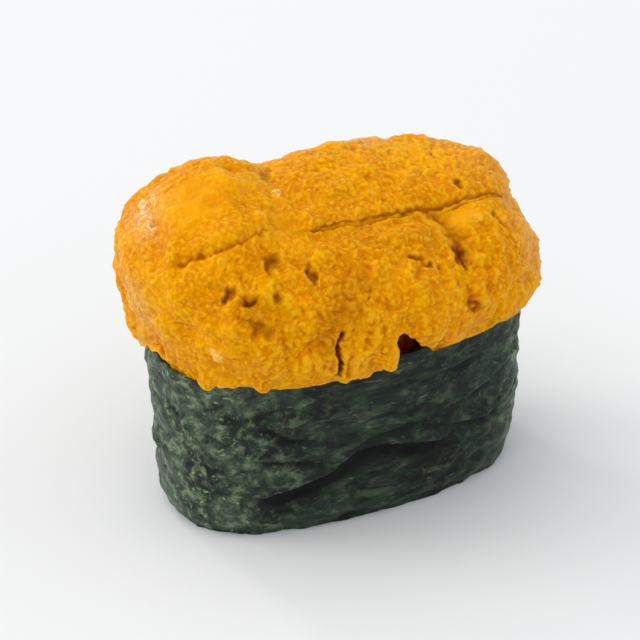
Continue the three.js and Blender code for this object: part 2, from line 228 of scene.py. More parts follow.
# Grooves and pits are cut so deep that the raw red-brown inside shows, and this colour is also
# painted shade in the recess. A last number says how much.
CRACK = [(-7.3, -17.1, 32.9), (-7.7, -17.5, 32.0), (-7.9, -17.7, 30.8), (-7.4, -17.8, 29.3),
         (-7.1, -17.2, 27.4), (-7.3, -16.1, 25.6)]
GROOVES = [
    (BACK_SEAM, 0.38, 0.35, 0.5),
    (LEFT_GROOVE, 0.36, 0.40, 0.25),
    (CRACK, 0.25, 1.4, 1.0),
    ([(19.5, -6.6, 37.9), (20.0, -7.8, 36.9), (20.7, -9.1, 35.4), (21.2, -10.2, 33.5)], 0.45, 0.4, 0.2),
]
PITS = [
    ([(-9.3, -11.3, 39.6), (-9.5, -12.2, 39.0), (-9.6, -12.8, 38.6)], 0.70, 0.9, 0.6),
    ([(-20.1, -11.0, 38.6), (-20.6, -11.2, 38.0)], 0.75, 1.1, 0.7),
    ([(-18.0, -12.6, 37.8), (-17.3, -12.8, 37.7)], 0.75, 1.0, 0.7),
    ([(-14.2, -13.1, 37.7), (-14.0, -13.5, 37.2)], 0.65, 0.8, 0.45),
    ([(-13.5, -9.5, 41.0), (-13.6, -10.2, 40.4)], 0.75, 0.9, 0.55),
    ([(-17.1, -14.5, 35.1), (-16.2, -14.9, 34.5)], 0.80, 0.9, 0.5),
    ([(-19.0, -13.6, 35.8), (-18.3, -14.1, 35.5)], 0.80, 0.7, 0.4),
    ([(-11.6, -14.8, 36.2)], 0.60, 0.5, 0.3),
    ([(5.0, -11.9, 37.9), (6.0, -12.4, 37.3), (6.9, -12.8, 36.9)], 0.50, 0.7, 0.45),
    ([(16.2, -1.5, 40.9), (16.1, -2.1, 40.6)], 0.40, 0.5, 0.5),
    ([(-3.0, -14.5, 36.6), (-2.6, -15.2, 36.0)], 0.60, 0.5, 0.3),
    ([(-8.8, 4.3, 44.0), (-7.3, 5.8, 42.8)], 0.80, 0.4, 0.4),
    ([(12.4, -10.4, 37.0), (12.3, -12.2, 35.4)], 0.85, 1.0, 0.7),  # the pit between front and right
    ([(12.3, -14.8, 31.2), (12.6, -15.2, 30.2), (13.6, -15.0, 29.4)], 0.50, 0.8, 0.45),
    ([(-14.3, 4.1, 46.7)], 0.45, 0.4, 0.3),
    ([(-12.6, 3.3, 46.2)], 0.45, 0.3, 0.2),
    ([(-13.4, -2.2, 45.1)], 0.50, 0.4, 0.25),
    ([(9.6, 6.0, 42.9), (8.7, 4.0, 43.0)], 0.45, 0.4, 0.15),
    ([(16.3, 6.2, 42.1), (14.7, 3.1, 42.2)], 0.45, 0.4, 0.15),
    ([(3.0, 15.0, 36.5), (3.4, 15.6, 35.2)], 0.70, 0.9, 0.6),  # pits on the back, like the front's
    ([(12.5, 13.5, 36.0), (13.6, 13.8, 35.4)], 0.65, 0.8, 0.5),
    ([(-8.0, 15.8, 34.0), (-7.6, 16.0, 32.6)], 0.70, 0.9, 0.6),
    ([(-21.0, 12.5, 35.5), (-20.0, 13.2, 35.0)], 0.65, 0.8, 0.5),
    ([(23.5, 8.5, 33.5), (23.2, 9.4, 32.4)], 0.65, 0.7, 0.5),
    ([(16.0, 14.5, 30.0)], 0.60, 0.7, 0.4),
    ([(-13.0, 15.8, 30.0)], 0.60, 0.7, 0.4),
]
# Painted shade: soft brownish darkening in valleys and over parts of the front, with its reach and its share.
SHADES = [
    (CHANNEL, 1.6, 0.40),
    ([(-4.7, -8.1, 40.7), (4.0, -7.1, 40.2), (8.6, -6.3, 39.7)], 1.2, 0.25),
    ([(-5.9, -15.0, 36.2), (-5.4, -16.0, 34.8)], 1.2, 0.28),
    ([(-17.5, -13.4, 36.6), (-14.6, -14.0, 36.4)], 2.2, 0.26),
    ([(-9.4, -13.6, 37.8)], 1.6, 0.26),
    ([(4.2, -8.3, 39.7)], 1.0, 0.25),
    ([(-9.0, 0.4, 42.6), (-8.6, 3.4, 43.0)], 1.2, 0.24),
    ([(-3.5, -13.5, 37.5), (-8.0, -17.0, 33.0), (-9.0, -17.4, 31.8)], 3.4, 0.35),
    ([(1.0, -9.2, 39.4), (5.0, -9.0, 39.4), (8.5, -8.6, 39.2)], 2.8, 0.28),
]
# Small wet ridges and beads that catch the light, with their reach. Their heads also get painted highlight
# colour.
GLINTS = [
    ([(-22.1, -12.0, 30.5)], 0.85),
    ([(-9.2, 0.2, 42.5), (-9.1, 0.9, 41.2)], 0.50),
    ([(-24.0, 7.0, 42.6), (-24.4, 5.3, 42.7), (-24.7, 2.8, 42.4), (-25.1, 1.3, 41.9)], 0.75),
    ([(-22.6, 6.5, 43.8), (-23.0, 4.6, 43.8)], 0.55),
    ([(16.7, -7.8, 38.2)], 0.45),
]
# The wall inside the tear at the front, painted dark all over as painted shade.
SHADED_TEAR_WALL = [(1, -12, 27), (5, -12, 25), (7.5, -13, 25)]
SHADED_TEAR_WALL_REACH = 2.2

# Stretches where two tongues have run together, with the half width of the join.
WELDS = [
    ([(-6.6, 7.5, 42.6), (-8.6, 2.3, 43.3), (-10.6, -3, 43), (-11.3, -6.1, 42), (-13.6, -9.7, 40.7)], 3.0),
    ([(-14.3, -11, 39.5), (-14.3, -13, 37.7), (-14.4, -15.1, 34.5), (-14.6, -16.2, 31.1), (-14.4, -15, 26)],
     2.8),
    ([(10.2, -6.5, 40.2), (11.3, -9.4, 38.8), (11.6, -11, 37.5)], 2.4),
    ([(11.4, -12.5, 36.0), (11.4, -15.3, 32.5), (12.7, -15.6, 29.3), (13.0, -14.5, 26)], 2.6),
    ([(-5.6, 11.5, 41.3), (-5.4, 13.5, 39.5), (-5.2, 15.3, 36.5), (-5.0, 16.2, 32.5)], 2.2),
]

# Where the roe is smooth, where it is wet, where it is crumbly, and where a pale sheen is painted
# on its rims and crest as a painted reflection of the bright surroundings: a centre and a radius.
SMOOTH_PLACES = [((-10.8, -5, 42.3), 2.8), ((-10, -0.5, 43.1), 2.2), ((11.0, -8, 39.4), 2.0),
                 ((15, -6.5, 39), 2.4), ((-22.1, -12.0, 30.5), 1.2), ((-19, 1, 46), 4.5), ((6, 12, 41), 3.0)]
WET_PLACES = [((-24.4, 5.3, 42.7), 2.6), ((-25.1, 1.3, 41.9), 2.2), ((-22.1, -12.0, 30.5), 0.7),
              ((-9.2, 0.3, 42.6), 0.7), ((-9, 5, 42.5), 1.4), ((16, -7, 38.6), 0.8)]
CRUMBLY_PLACES = [((-19, -12.5, 37), 5.5), ((-6, -14, 35), 8.0), ((4, -14, 34), 8.0),
                  ((14, -12, 33), 6.0), ((-14, -15, 32), 6.0), ((6, 15, 34), 8.0), ((-10, 15, 33), 7.0),
                  ((20, 11, 32), 6.0), ((-22, 11, 33), 5.0)]
RIM_SHEEN_PLACES = [((-28.5, 1, 32), 3.5), ((-24.6, 5, 42.4), 2.8), ((-27.5, 0, 28), 2.4), ((24, 5, 38), 6.0),
               ((27, -5, 33), 5.0), ((8, 11, 42), 4.0)]

# %% An even skin
ROE_PITCH = {"uni_left": 0.2, "uni_back": 0.21, "uni_front": 0.16, "uni_right": 0.16}
RUB_REACH = 0.6  # how far the smoothing reaches, which sets how round the lips of a seam are


def even_skin(name, mesh, pitch, swell=0.0):
    """A solid as an even mesh of small faces, with its facets and sharp edges rubbed round."""
    piece = add_object(name, mesh)
    if swell:
        grow = piece.modifiers.new("grow", "DISPLACE")
        grow.strength = swell * MM
        grow.mid_level = 0
    even = piece.modifiers.new("even", "REMESH")
    even.mode = "VOXEL"
    even.voxel_size = pitch * MM
    even.use_smooth_shade = True
    rub = piece.modifiers.new("rub", "SMOOTH")
    rub.iterations = round((RUB_REACH / pitch) ** 2)
    rub.factor = 0.5
    made = piece.evaluated_get(bpy.context.evaluated_depsgraph_get())
    skin = bpy.data.meshes.new_from_object(made)
    piece.modifiers.clear()
    piece.data = skin
    return piece


def tree_of(meshes):
    """A search tree over the faces of some meshes."""
    corners, faces = [], []
    for mesh in meshes:
        faces += [[len(corners) + v for v in face.vertices] for face in mesh.polygons]
        corners += [v.co for v in mesh.vertices]
    return BVHTree.FromPolygons(corners, faces)


def nearest_on(points, tree):
    """The nearest place on a tree's faces to each point, and the way that face points."""
    found = [tree.find_nearest(p) for p in points * MM]
    return np.array([hit[0] for hit in found]) / MM, np.array([hit[1] for hit in found])


def length(ways):
    return np.linalg.norm(ways, axis=-1)


# %% [markdown]
# ## The heap as one skin
# Where tongues have run together there is no seam, only a soft valley. A rough skin over all
# four at once has that shape, so the joined stretches are drawn onto it.

# %% A guide skin over all the tongues
TONGUES = ["uni_left", "uni_back", "uni_front", "uni_right"]
HEAP_PITCH = 0.4
HEAP_SWELL = 0.25  # closes the gaps between the solids


def heap_tree():
    together = bmesh.new()
    for node in TONGUES:
        together.from_mesh(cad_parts[node].data)
    mesh = bpy.data.meshes.new("heap")
    together.to_mesh(mesh)
    together.free()
    heap = even_skin("heap", mesh, HEAP_PITCH, HEAP_SWELL)
    tree = tree_of([heap.data])
    print("heap guide:", len(heap.data.polygons), "faces")
    bpy.data.objects.remove(heap)
    return tree


heap = heap_tree()
seat = tree_of([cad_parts[node].data for node in ("nori_wrap", "rice")])

# %% [markdown]
# ## Marks with torn edges
# A pit or a crack in something so soft has no clean edge. The places where it is looked up
# wander a little and its depth comes and goes, so that a plain route turns into a ragged hole.
# A route is only good where it lies in the skin, so each is first laid onto the heap.

# %% Lay the marks onto the heap
FOLD_WIDTH = 0.5
FOLD_DEPTH = 0.4
ROUTE_STEP = 1.0


def settled(route):
    """A route with close points, each laid onto the heap's skin."""
    route = np.array(route, float).reshape(-1, 3)
    places = [route[:1]]
    for start, end in zip(route[:-1], route[1:]):
        steps = max(1, round(length(end - start) / ROUTE_STEP))
        places.append(start + np.linspace(0, 1, steps + 1)[1:, None] * (end - start))
    skin, facing = nearest_on(np.concatenate(places), heap)
    return skin - HEAP_SWELL * facing


def laid(marks):
    """The same marks, with every route settled on the heap."""
    return [(settled(route), *rest) for route, *rest in marks]


grooves, pits, soft_marks, shades, glints = map(laid, (GROOVES, PITS, SOFT_MARKS, SHADES, GLINTS))
folds_by_crack = laid([(route, FOLD_WIDTH, FOLD_DEPTH) for route in FOLDS_BY_CRACK])
print("marks on the roe:", len(grooves + pits + soft_marks + folds_by_crack))


# %% How the marks change a point
# The red-brown and the painted shade of a pit or a groove reach a little further than the mark itself.
PIT_SHADE_SPREAD = 1.3  # the raw shade reaches this much further than its pit
GROOVE_SHADE_SPREAD = 1.2


def drifted(points, size, by, salt):
    """The points pushed about a little, so that a pattern laid on them isn't regular."""
    return points + by * np.stack([waves(points, size, salt + axis) for axis in range(3)], 1)


def torn(points):
    """Where the pits and the grooves are looked up: pits wander more than grooves."""
    return drifted(points, 1.3, 0.65, 50), drifted(points, 0.9, 0.3, 56)


def depth_of(points, marks):
    """How deep some marks lie under each point."""
    return sum(depth * closeness(points, route, width) for route, width, depth, *_ in marks)


def pressed(points):
    """How deep the pits, the folds and the grooves press each point in."""
    at_pits, at_grooves = torn(points)
    ragged = depth_of(at_pits, pits) + depth_of(at_grooves, folds_by_crack)
    return depth_of(at_grooves, grooves) + ragged * (0.65 + 0.6 * waves(points, 1.5, 53))


def showing_raw_and_shade(points):
    """How much red-brown inside and painted shade shows in the pits, the grooves, the tear and the shaded
    places.
    """
    at_pits, at_grooves = torn(points)
    shows = [closeness(points, SHADED_TEAR_WALL, SHADED_TEAR_WALL_REACH)]
    shows += [raw_and_shade * closeness(at_pits, route, PIT_SHADE_SPREAD * width) for route, width, _, raw_and_shade in pits]
    shows += [raw_and_shade * closeness(at_grooves, route, GROOVE_SHADE_SPREAD * width) for route, width, _, raw_and_shade in grooves]
    shows += [share * closeness(at_pits, route, reach) for route, reach, share in shades]
    return np.max(shows, axis=0)


def most(points, places):
    """How much each point belongs to some routes or round places, from 0 to 1."""
    return np.max([closeness(points, route, reach) for route, reach in places], axis=0)


# %% [markdown]
# ## The relief of the skin
# Cells packed edge to edge look like leather, and creases alone look like a walnut. Roe has
# neither outline: waves of a few sizes on top of each other give its soft grain, with round heads
# standing up here and there.

# %% Clumps, grain and swell
def clump_relief(points, crumbly):
    """Soft clumps, where the roe is crumbly."""
    grown = points * (1, 1, 0.65)
    patchy = 0.45 + 0.55 * ease(-0.3, 0.3, waves(points, 4.0, 6))
    return crumbly * patchy * (0.85 * waves(grown, 2.7, 4) + 0.75 * waves(grown, 1.6, 5))


def grain_relief(points, smooth):
    """The fine grain of the skin: bumps under a millimetre across."""
    loose = drifted(points, 1.0, 0.3, 30)
    heads = ease(0.62, 0.05, beads(loose, 0.95, 7))
    grain = 0.17 * waves(loose, 1.2, 8) + 0.11 * waves(loose, 0.7, 9) + 0.16 * (heads - 0.3)
    return grain * (1 - 0.75 * smooth)


def heaved(points, hold):
    """The heap's own unevenness, which moves both sides of a seam alike; `hold` keeps it back."""
    moved = drifted(drifted(points, 4.6, 0.45, 60), 2.2, 0.3, 64)
    return points + (1 - hold)[:, None] * (moved - points)


# %% Which places are hollow
HOLLOW_REACH = 0.35
HOLLOW_SCALE = 0.2


def averaged(mesh, rounds):
    """Each point's place drawn to the middle of its neighbours' places, a few times over."""
    values = points_of(mesh)
    ends = np.empty(2 * len(mesh.edges), np.int32)
    mesh.edges.foreach_get("vertices", ends)
    a, b = ends.reshape(-1, 2).T
    count = np.bincount(ends, minlength=len(values))
    for _ in range(rounds):
        sums = np.stack([np.bincount(a, values[b, k], len(values)) + np.bincount(b, values[a, k], len(values))
                         for k in range(3)], 1)
        values = sums / count[:, None]
    return values


def hollows(mesh, pitch):
    """How hollow (above 0) or raised (below 0) the skin is at each point, from its neighbours."""
    sunk = averaged(mesh, round((HOLLOW_REACH / pitch) ** 2)) - points_of(mesh)
    return np.einsum("ij,ij->i", sunk, facing_of(mesh)) / HOLLOW_SCALE


# %% [markdown]
# ## The ragged lower edge
# The heap hangs over the rim in soft scallops. Noise alone would spread them evenly, so the ones
# that one can point at are named: a place, its reach and how far it is taken up (above 0) or let
# down say where one hangs lower or where two part.

# %% Scallops
HEM_HEIGHT = 26
HEM_DEPTH = 2.4
SCALLOPS = [
    ((-27.3, 1.5, 26.0), 2.8, 1.3), ((-24.5, -5.5, 25.6), 2.2, -1.5), ((-22.0, -9.3, 25.5), 2.2, -1.6),
    ((-16.3, -14.1, 25.9), 0.8, -1.0),  # a drip
    ((-13.6, -16.2, 27.4), 0.7, 1.0),  # a notch
    ((-12.0, -15.5, 25.6), 1.8, 1.1), ((-4.8, -16.5, 26.0), 1.8, -0.3),
    ((-0.8, -17.2, 27.0), 1.3, -1.3),  # the corner beside the tear
    ((1.2, -17.0, 29.6), 1.3, 0.5),  # the top of the tear
    ((16.0, -14.1, 27.1), 1.8, 1.1), ((19.4, -12.9, 27.6), 2.4, 2.0), ((22.4, -11.0, 28.0), 2.4, 1.4),
]


def near_hem(points):
    """1 at the height of the lower edge, fading above and below it."""
    return np.exp(-((points[:, 2] - HEM_HEIGHT) / HEM_DEPTH) ** 2)


def hem_relief(points):
    """How far the lower edge stands out or in, so that it isn't a smooth line."""
    upright = points * (1, 1, 0.4)
    return near_hem(points) * (0.5 * waves(upright, 2.6, 13) + 0.4 * waves(upright, 1.3, 14))


def hem_shift(points):
    """How far the lower edge is taken up or let down at each point."""
    level = points * (1, 1, 0)
    ragged = 0.5 * waves(level, 3.1, 11) + 0.45 * waves(level, 1.3, 12)
    return near_hem(points) * ragged + sum(rise * closeness(points, *place) for *place, rise in SCALLOPS)


# %% [markdown]
# ## Where two tongues have run together
# Joined tongues are still two pieces, and ending each at the join would leave a dark slit. So
# along a join each reaches a little way into the other, and both are drawn onto the heap's skin.
# There they look up the same marks and the same noise, so they move as one.

# %% Draw the joins together
JOIN_LAP = 0.6  # how far each of two joined tongues reaches into the other
JOIN_FADE = 1.2  # how far from the other tongue this reaching stops
JOIN_SINK = 0.1  # the lapped edge of a join lies this much under the other's skin
JOIN_WHOLE = 1.5  # above 1, so that the middle of a join is wholly joined
JOIN_DRAW = (1.7, 0.6)  # how far from the heap's skin the drawing starts, and where it is full
OUTER_FACE = (0.05, 0.5)  # how alike a face and the heap's skin point when it isn't down the gap


def drawn_together(points, facing, way, joined):
    """Points drawn onto the heap's skin at the joins, and the nearest places and facings of it."""
    gap = length(way)
    share = joined * np.exp(-(gap / JOIN_FADE) ** 2)
    reaching = share * (0.5 + JOIN_LAP / gap)  # half the way to the other tongue, and the lap
    shaped = points + reaching[:, None] * way
    skin, skin_facing = nearest_on(shaped, heap)
    skin -= HEAP_SWELL * skin_facing
    outer = ease(*OUTER_FACE, np.einsum("ij,ij->i", facing, skin_facing))
    drawn = joined * outer * ease(*JOIN_DRAW, length(skin - shaped))
    shaped += drawn[:, None] * (skin - (JOIN_SINK * share)[:, None] * skin_facing - shaped)
    return shaped, skin, skin_facing


def blended(facing, shared, share):
    """Directions turned towards shared ones, and drawn back to a length of 1."""
    turned = facing + share[:, None] * (shared - facing)
    return turned / np.maximum(length(turned), 1e-6)[:, None]


# %% Make the tongues
# Relief grows from nothing to full between two distances from the nori and the rice under the
# roe. The marks do so too, but sooner. Inside an open seam the relief is kept low.
RELIEF_CLEARANCE = (0.45, 1.1)
MARK_CLEARANCE = (0.3, 0.8)
SEAM_CLEARANCE = (0.3, 1.2)
SEAM_RELIEF = 0.35
GLINT_RISE = 0.3  # how far a wet ridge stands up


def make_tongue(node):
    pitch = ROE_PITCH[node]
    tongue = even_skin(node.replace("uni", "roe"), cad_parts[node].data.copy(), pitch)
    mesh = tongue.data
    points = points_of(mesh)
    others = tree_of([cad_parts[other].data for other in TONGUES if other != node])
    way = nearest_on(points, others)[0] - points
    seat_gap = length(nearest_on(points, seat)[0] - points)
    clear = ease(*RELIEF_CLEARANCE, seat_gap)
    held = ease(*MARK_CLEARANCE, seat_gap)
    joined = np.clip(JOIN_WHOLE * most(points, WELDS), 0, 1)
    open_share = SEAM_RELIEF + (1 - SEAM_RELIEF) * ease(*SEAM_CLEARANCE, length(way))
    free = np.maximum(open_share, joined) * clear

    shaped, skin, skin_facing = drawn_together(points, facing_of(mesh), way, joined)
    move_points(mesh, shaped)
    marked = shaped + joined[:, None] * (skin - shaped)  # where a point looks up its marks and noise

    smooth = most(marked, SMOOTH_PLACES)
    crumbly = most(marked, CRUMBLY_PLACES) * (1 - smooth)
    glint = most(torn(marked)[1], glints)
    facing = blended(facing_of(mesh), skin_facing, joined)
    rise = free * (clump_relief(marked, crumbly) + hem_relief(marked)) - held * pressed(marked)
    sunken = held * depth_of(marked, soft_marks)  # soft marks move both sides of a seam alike
    shaped += rise[:, None] * facing - sunken[:, None] * skin_facing
    shaped = heaved(shaped, 1 - clear)
    lift = hem_shift(points)
    shaped[:, 2] += np.where(lift > 0, 1, clear) * lift  # the edge can leave the rim but not sink into it
    move_points(mesh, shaped)

    facing = blended(facing_of(mesh), skin_facing, joined)
    grain = free * (grain_relief(marked, smooth) + GLINT_RISE * glint)
    move_points(mesh, shaped + grain[:, None] * facing)
    hollow = hollows(mesh, pitch)
    # These numbers also drive painted colour: shade in hollows and light on rises, red-brown and painted
    # shade, a painted rim sheen and painted glints.
    painted = {"hollow": np.clip(hollow, -1, 1), "smooth": smooth, "glint": glint, "raw_and_shade": showing_raw_and_shade(marked),
               "wet": most(marked, WET_PLACES), "rim_sheen": most(marked, RIM_SHEEN_PLACES)}
    for name, values in painted.items():
        paint(mesh, name, values)
    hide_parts(node)
    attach(tongue, "root")
    print(f"{tongue.name}: {len(points)} points, hollow {np.percentile(hollow, [5, 50, 95]).round(2)}")
    return tongue


tongues = [make_tongue(node) for node in TONGUES]

# %% [markdown]
# ## The band of nori
# Nori is dried seaweed pressed into a thin sheet. On moist rice it goes soft, takes the swell of
# the grains under it and creases where it is drawn round. A cloth simulation could do this, but
# the sheet hardly moves, so it is laid out as a strip instead: a grid that runs round the oval
# and laps over itself at the back, with every fold pressed in where it lies.

# %% The oval that the strip follows
BAND_HEIGHT = 25
NORI_THICKNESS = 0.45
GAP = 0.3
FOOT = dict(half_length=24.5, half_width=12.8, squareness=2.5, shift=0)
RIM = dict(half_length=25.5, half_width=13.8, squareness=2.6, shift=-0.5)
FOOT_TUCK = 0.9
TUCK_HEIGHT = 3.5
LAP_START = 62  # degrees round from +X to the inner end of the strip
LAP_ANGLE = 26
LAP_RAMP = 14


def squared(value, squareness):
    """A cosine or sine drawn out towards a rectangle: 2 leaves a circle as it is."""
    return np.sign(value) * np.abs(value) ** (2 / squareness)


def oval(angle, height, out):
    """Points of the oval at angles in degrees and heights, moved out by `out`."""
    t = np.clip(height / BAND_HEIGHT, 0, 1)
    names = ("half_length", "half_width", "squareness", "shift")
    half_length, half_width, squareness, shift = (FOOT[name] + (RIM[name] - FOOT[name]) * t for name in names)
    grow = out - FOOT_TUCK * (1 - ease(0, TUCK_HEIGHT, height)) ** 2
    turn = np.radians(angle)
    x = shift + (half_length + grow) * squared(np.cos(turn), squareness)
    y = (half_width + grow) * squared(np.sin(turn), squareness)
    return np.stack([x, y, height + 0 * angle], -1)


# %% [markdown]
# ## Folds and felt
# A moist sheet slides a little down its rice and folds where it is held back. Such a fold is a
# soft lip above and a sharp tuck below. It is kept as a route of (angle, height), how far the
# sheet stands out above it, how far it goes in below it, and over how many millimetres each
# fades. The felt of shreds that covers the rest is noise.

# %% The folds of the strip
FOLDS = [
    ([(-119, 6.7), (-111, 7.4), (-104, 8.3), (-99, 9.4), (-94, 11.1), (-89, 11.3), (-84, 10.7), (-77, 9.9)],
     0.60, 1.30, 3.0, 2.4),  # the deep tuck at the front
    ([(-94, 12.4), (-90, 13.6), (-84, 14.1), (-71, 11.6), (-56, 10.4)], 0.20, 0.50, 1.8, 1.2),
    ([(-54, 10.3), (-43, 10.9), (-34, 12.7)], 0.15, 0.40, 1.6, 1.0),
    ([(-135, 8.2), (-129, 7.6), (-124, 6.8), (-119, 6.9)], 0.08, 0.12, 1.5, 0.9),
    ([(-122, 17.2), (-119, 16.9), (-116, 16.1)], 0.15, 0.60, 1.0, 0.8),
    ([(-116, 15.4), (-108, 14.9)], 0.15, 0.60, 1.0, 0.8),
    ([(-121, 12.1), (-113, 11.9), (-107, 11.5)], 0.15, 0.50, 1.0, 0.7),
    ([(-146, 16.2), (-138, 15.4)], 0.15, 0.40, 1.0, 0.8),
    ([(-85, 20.9), (-75, 20.5), (-59, 21.1)], 0.15, 0.25, 1.4, 0.9),
    ([(-68, 14.7), (-54, 15.8), (-38, 18.1)], 0.25, 0.35, 1.6, 1.0),
    ([(18, 8.0), (40, 10.5), (64, 12.5)], 0.35, 0.80, 2.0, 1.2),
    ([(104, 15.0), (126, 12.0), (146, 9.5)], 0.35, 0.90, 2.2, 1.2),
    ([(152, 6.0), (165, 8.5), (177, 10.0)], 0.20, 0.45, 1.8, 1.1),
]
FACE_REACH = 20  # millimetres of face to one radian of turn
LIP_EDGE = (-0.10, 0.40)  # from under a fold's route to over it, where tuck turns into lip


def turned_from(angle, middle):
    """How many degrees each angle is from a middle one, the shorter way round."""
    return (angle - middle + 180) % 360 - 180


def nearest_to(route, across, height):
    """How far each place of the sheet is from a fold's route, and 1 above it or -1 below it."""
    spots = [(math.radians(turned_from(a, 0)) * FACE_REACH, h) for a, h in route]
    nearest = np.full(across.shape, np.inf)
    above = np.ones(across.shape)
    for (x0, z0), (x1, z1) in zip(spots[:-1], spots[1:]):
        run = (x1 - x0) ** 2 + (z1 - z0) ** 2
        t = np.clip(((across - x0) * (x1 - x0) + (height - z0) * (z1 - z0)) / run, 0, 1)
        dx = across - x0 - t * (x1 - x0)
        dz = height - z0 - t * (z1 - z0)
        away = np.hypot(dx, dz)
        above = np.where(away < nearest, np.sign(dz), above)
        nearest = np.minimum(nearest, away)
    return nearest, above


def fold_relief(angle, height):
    """How far the folds push the sheet out at each angle and height, and how much painted shade their tucks
    get.
    """
    across = np.radians(turned_from(angle, 0)) * FACE_REACH
    wander = 0.5 * waves(np.stack([across.ravel(), height.ravel(), 0 * height.ravel()], 1), 5.0, 44)
    height = height + wander.reshape(height.shape)
    total = np.zeros(angle.shape)
    fold_shade = np.zeros(angle.shape)
    for route, rise, sink, fade_up, fade_down in FOLDS:
        nearest, above = nearest_to(route, across, height)
        lip = ease(*LIP_EDGE, above * nearest)
        into = (1 - lip) * np.exp(-(nearest / fade_down) ** 3)
        total += lip * rise * np.exp(-(nearest / fade_up) ** 2) - sink * into
        fold_shade = np.maximum(fold_shade, sink * into)
    return total, np.clip(1.4 * fold_shade, 0, 1)


# %% Dents, ends and painted light on the ends
# Each is a middle angle, a spread in degrees and a share, or a depth in millimetres.
# Painted light: the ends are paler where they face the lamps and catch a sheen, and more pale shreds show
# there.
LIT_PALE_ENDS = [(-165, 48, 1.0), (-16, 28, 1.0), (95, 60, 0.4)]
LEFT_TRIM = (158, 32, 0.35)
RIGHT_TRIM = (-30, 30, 0.3)
RIGHT_TRIM_HEIGHTS = (7, 2)  # nothing at the first height, and all of it at the second


def ripple_relief(angle, height):
    """The small unevenness of a moist sheet: soft dents over the rice, and the felt of its shreds."""
    flat = drifted(oval(angle, height, 0 * height).reshape(-1, 3), 5.0, 1.5, 45)
    drawn_out = flat * (0.8, 0.8, 1)
    dents = 0.30 * waves(flat, 7.0, 40) + 0.32 * waves(drawn_out, 2.8, 41)
    felt = 0.20 * waves(drawn_out, 1.4, 42) + 0.07 * waves(flat, 0.8, 46)
    return (dents + felt).reshape(height.shape)


def bell(angle, middle, spread, share):
    """`share` at a middle angle, and falling off round it."""
    return share * np.exp(-(turned_from(angle, middle) / spread) ** 2)


def end_trim(angle, height):
    """How far the sheet is drawn in: all up the left end, and at the foot of the right end."""
    return bell(angle, *LEFT_TRIM) + bell(angle, *RIGHT_TRIM) * ease(*RIGHT_TRIM_HEIGHTS, height)


def lit_paleness_round(angle):
    """How pale the sheet is painted round the oval, as painted light: most at both ends, least at the front.
    """
    return np.max([bell(angle, *end) for end in LIT_PALE_ENDS], axis=0)


# %% [markdown]
# ## Laying the strip
# The strip is one closed sheet of quads: an outer face, an inner face a thickness behind it, and
# a narrow face along each of its four edges. Its own coordinates, laid flat, are kept in a UV
# map, so that the finish can run along the strip and go round the ends without a break.

# %% Faces of a strip
STRIP_STATIONS = 430
STRIP_ROWS = 96
CUT_WANDER = 0.18  # how far the cut lower edge wanders up


def strip_quads():
    """Quads over a strip whose points run up each station, with all of the outer face first."""
    width = STRIP_ROWS + 1
    back = (STRIP_STATIONS + 1) * width  # from a point of the outer face to the one behind it
    last = STRIP_STATIONS * width
    i = np.arange(STRIP_STATIONS) * width
    j = np.arange(STRIP_ROWS)
    corner = (i[:, None] + j).ravel()
    outer = np.stack([corner, corner + width, corner + width + 1, corner + 1], 1)
    foot = np.stack([i, i + back, i + width + back, i + width], 1)
    rim = np.stack([i, i + width, i + width + back, i + back], 1) + STRIP_ROWS
    inner_end = np.stack([j, j + 1, j + 1 + back, j + back], 1)
    outer_end = np.stack([j, j + back, j + 1 + back, j + 1], 1) + last
    return np.concatenate([outer, outer[:, ::-1] + back, foot, rim, inner_end, outer_end])


# %% Lay the strip


def strip_points(travelled, height, out):
    angle = LAP_START + travelled
    climb = ease(360 - LAP_RAMP, 360, travelled) * (NORI_THICKNESS + GAP)
    folds, fold_shade = fold_relief(angle, height)
    relief = folds + ripple_relief(angle, height) - end_trim(angle, height)
    return oval(angle, height, out + climb + relief), fold_shade


def make_nori():
    travelled, rows = np.meshgrid(np.linspace(0, 360 + LAP_ANGLE, STRIP_STATIONS + 1),
                                  np.linspace(0, 1, STRIP_ROWS + 1), indexing="ij")
    cut = CUT_WANDER * waves(travelled[:, :1] * (0.5, 0, 0), 1.6, 43)
    low = np.clip(cut, 0, None)[:, None]
    height = low + (BAND_HEIGHT - low) * rows
    outer, fold_shade = strip_points(travelled, height, 0)
    inner, _ = strip_points(travelled, height, -NORI_THICKNESS)
    points = np.concatenate([outer.reshape(-1, 3), inner.reshape(-1, 3)])
    quads = strip_quads()
    mesh = smooth_mesh("nori_band", points, quads.tolist())
    sheet = mesh.uv_layers.new(name="sheet")
    around = np.tile(np.radians(travelled).ravel() * FACE_REACH, 2)
    up = np.tile(height.ravel(), 2)
    sheet.uv.foreach_set("vector", (np.stack([around[quads], up[quads]], -1) * MM).astype(np.float32).ravel())
    # Painted shade in the tucks of the folds.
    paint(mesh, "fold_shade", np.tile(fold_shade.ravel(), 2))
    # Painted light along the band, most at its ends.
    paint(mesh, "lit_paleness", np.tile(lit_paleness_round(LAP_START + travelled.ravel()), 2))
    band = add_object("nori_band", mesh)
    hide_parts("nori_wrap")
    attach(band, "root")
    print("nori band:", len(points), "points", len(quads), "quads")
    return band


nori_band = make_nori()

# %% [markdown]
# ## The rice
# The rice shows only under the band, where it is pressed flat on the board. A solid block would
# look like paste there, so a core a little smaller than the solid carries real grains on its
# underside: short plump rods that lie any way round and are cut flat where they touch the board.

# %% The core
CORE_TURNS = 96
CORE_RINGS = 12
CORE_FOOT = 1.0  # the core's underside, above the grains' flat ends
CORE_INSET = 1.3
CORE_WAIST = 1.2  # how much further the core is drawn in above the grains
RICE_TOP = 20
RICE_CROWN = 1.2


